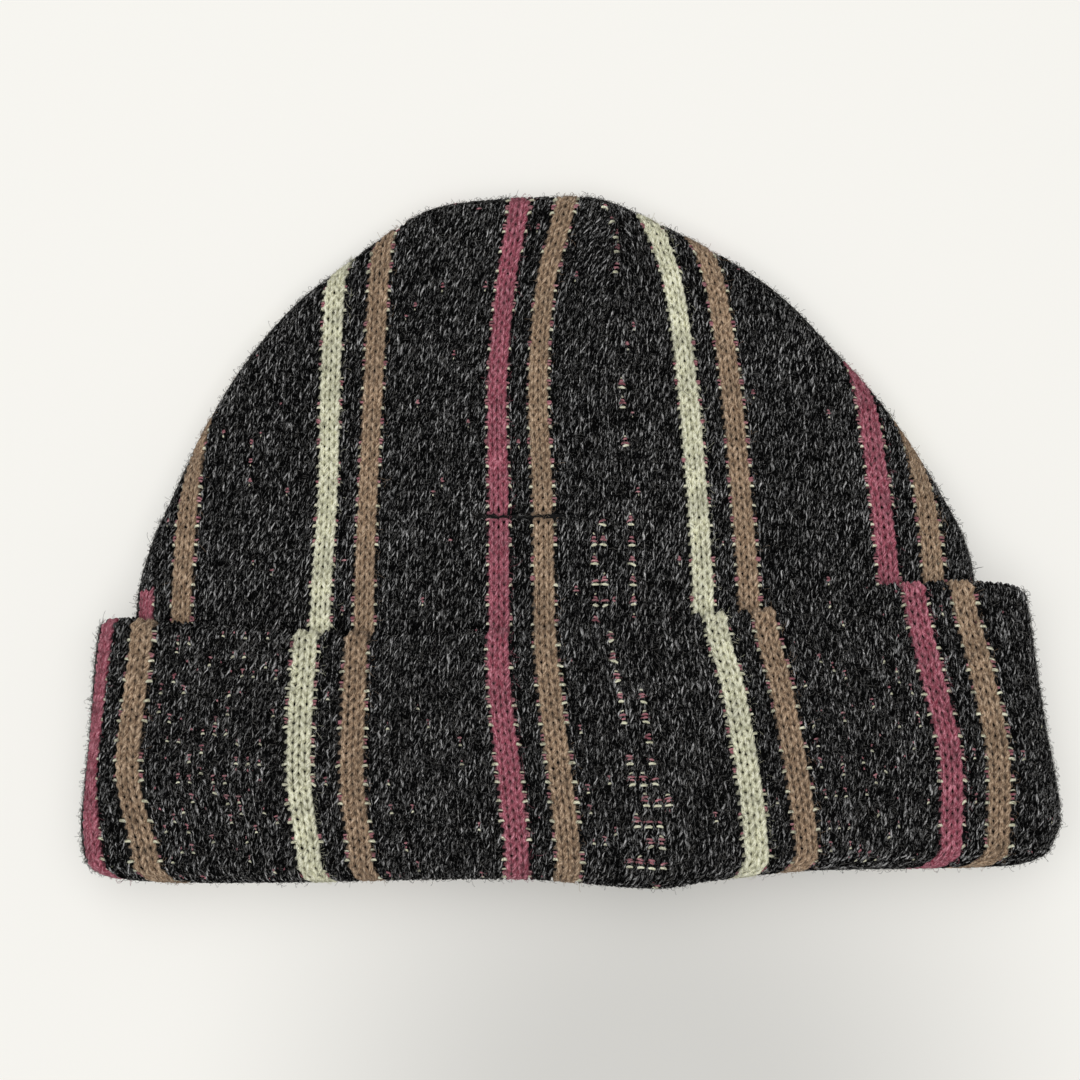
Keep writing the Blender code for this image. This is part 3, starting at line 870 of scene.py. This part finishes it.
def cuff_face(side):
    """One face of the cuff: from the hem down its front, round the turn-up and a little way inside."""
    pattern = Pattern(STRIPES if side > 0 else BACK_STRIPES, CUFF_HEIGHTS, 3, CUFF_WALE)
    fabric = Fabric(cuff_sheet(side), pattern, CUFF_YARN)
    for number in range(-9, int(CUFF_COURSES) + 3):
        fabric.knit(number + 0.25)
    middle = gap_middle(pattern)
    columns = [(middle - 2, 13, 24, 0.98), (middle - 2, -6, 13, 0.55), (middle, -6, 18, 0.98),
               (middle - 3, -6, 20, 0.25), (middle - 1, -6, 9, 0.5), (middle + 1, -6, 15, 0.15)]
    left_from, left_to, right_from, right_to = np.flatnonzero(pattern.colours != "charcoal")[[3, 4, 15, 16]]

    def chance_of(wale, course):
        if left_from < wale < left_to:
            return 0.55
        if right_from < wale < right_to and course < 18:
            return 0.35
        return 0.14 if course < 10 else 0.06

    fabric.show_back_yarns(range(-6, int(CUFF_COURSES) + 1), columns, chance_of)
    return finish_face(fabric, "cuff", side, (-2.5, CUFF_COURSES + 0.3))


def gap_middle(pattern):
    """The wale in the middle of the centre gap."""
    stripes = np.flatnonzero(pattern.colours != "charcoal")[::2]
    return (stripes[CENTRE_GAP - 1] + 2 + stripes[CENTRE_GAP]) // 2 - 1


def finish_face(fabric, body, side, fibre_courses):
    """Lays the back yarns and the fibres, and makes the face's pieces and the cloth behind them."""
    name, slot = f"{body}_{face_name(side)}", f"{body}_knit"
    fabric.lay_bars()
    fabric.grow_fibres(FIBRES[face_name(side)], fibre_courses)
    knit = make_pieces(name, fabric.runs, body, SIDES)
    knit += make_pieces(f"{name}_fibre", fabric.fibres, body, FIBRE_SIDES)
    cloth = cloth_under(fabric.sheet, f"{name}_cloth", CLOTH_DEPTH, body, OUTER_MESH)
    return fabric.sheet, cloth, knit


def cloth_under(sheet, name, depth, body, step):
    """The cloth behind the loops, as an open surface that follows a sheet at a depth."""
    points = (sheet.points - sheet.normals * depth)[::step, ::step]
    inside = sheet.inside[::step, ::step]
    rows, columns = points.shape[:2]
    index = np.arange(rows * columns).reshape(rows, columns)
    quads = np.stack([index[:-1, :-1], index[1:, :-1], index[1:, 1:], index[:-1, 1:]], 2).reshape(-1, 4)
    keep = (inside.ravel()[quads] > CLOTH_EDGE).all(1)
    flat = points.reshape(-1, 3).copy()
    flat[:, 1] += Y_BASE
    used, corners = np.unique(quads[keep], return_inverse=True)
    made = raw_mesh(name, flat[used] * MM, corners.ravel(), np.full(keep.sum(), 4))
    made.data.materials.append(CLOTH)
    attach(made, body)
    return made


def replace_nodes(piece, *starts):
    """Hides every CAD node whose name starts like this; the piece is not used."""
    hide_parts(*[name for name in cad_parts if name.startswith(starts)])


def stage():
    """The floor and the studio's soft light."""
    bpy.ops.mesh.primitive_plane_add(size=FLOOR_SIZE, location=(0, 0, FLOOR_LEVEL))
    floor = bpy.context.object
    floor.name = "floor"
    floor.data.materials.append(floor_material())
    world = bpy.data.worlds.new("studio")
    bpy.context.scene.world = world
    world.use_nodes = True
    world.node_tree.nodes["Background"].inputs["Color"].default_value = (1, 1, 1, 1)
    world.node_tree.nodes["Background"].inputs["Strength"].default_value = WORLD_LIGHT
    lamp = bpy.data.lights.new("key", "AREA")
    lamp.size, lamp.energy = KEY_SIZE, KEY_POWER
    key = bpy.data.objects.new("key", lamp)
    key.location = KEY_PLACE
    key.rotation_euler = (-Vector(KEY_PLACE)).to_track_quat("-Z", "Y").to_euler()
    bpy.context.collection.objects.link(key)


def camera():
    """A camera that looks down on the hat, as the photographer did."""
    lens = bpy.data.cameras.new("camera")
    lens.lens, lens.sensor_width = LENS, SENSOR
    made = bpy.data.objects.new("camera", lens)
    tilt = math.radians(CAMERA_TILT)
    away = Vector((0, -math.sin(tilt), math.cos(tilt)))
    made.location = Vector(CAMERA_TARGET) + away * CAMERA_DISTANCE
    made.rotation_euler = (tilt, 0, 0)
    bpy.context.collection.objects.link(made)
    bpy.context.scene.camera = made


for side in (1, -1):
    face = face_name(side)
    shell, shell_cloth, shell_knit = shell_face(side)
    cuff, cuff_cloth, cuff_knit = cuff_face(side)
    lining = cloth_under(shell, f"lining_{face}_cloth", LINING_DEPTH, "shell", INNER_MESH)
    facing = cloth_under(cuff, f"facing_{face}_cloth", FACING_DEPTH, "cuff", INNER_MESH)
    replace_nodes(shell_cloth, f"outer_gore_{face}", f"outer_dart_seam_{face}")
    replace_nodes(lining, f"lining_gore_{face}", f"lining_dart_seam_{face}")
    replace_nodes(cuff_cloth, f"cuff_face_{face}", f"cuff_hem_{face}", f"turn_up_shell_{face}")
    replace_nodes(facing, f"cuff_facing_{face}", f"turn_up_lining_{face}")
    if side > 0:
        replace_nodes(shell_cloth, "outer_dart_seam_left", "outer_dart_seam_right")
        replace_nodes(lining, "lining_dart_seam_left", "lining_dart_seam_right", "crown_tack")
stage()
camera()
bpy.context.scene.view_settings.view_transform = "Standard"
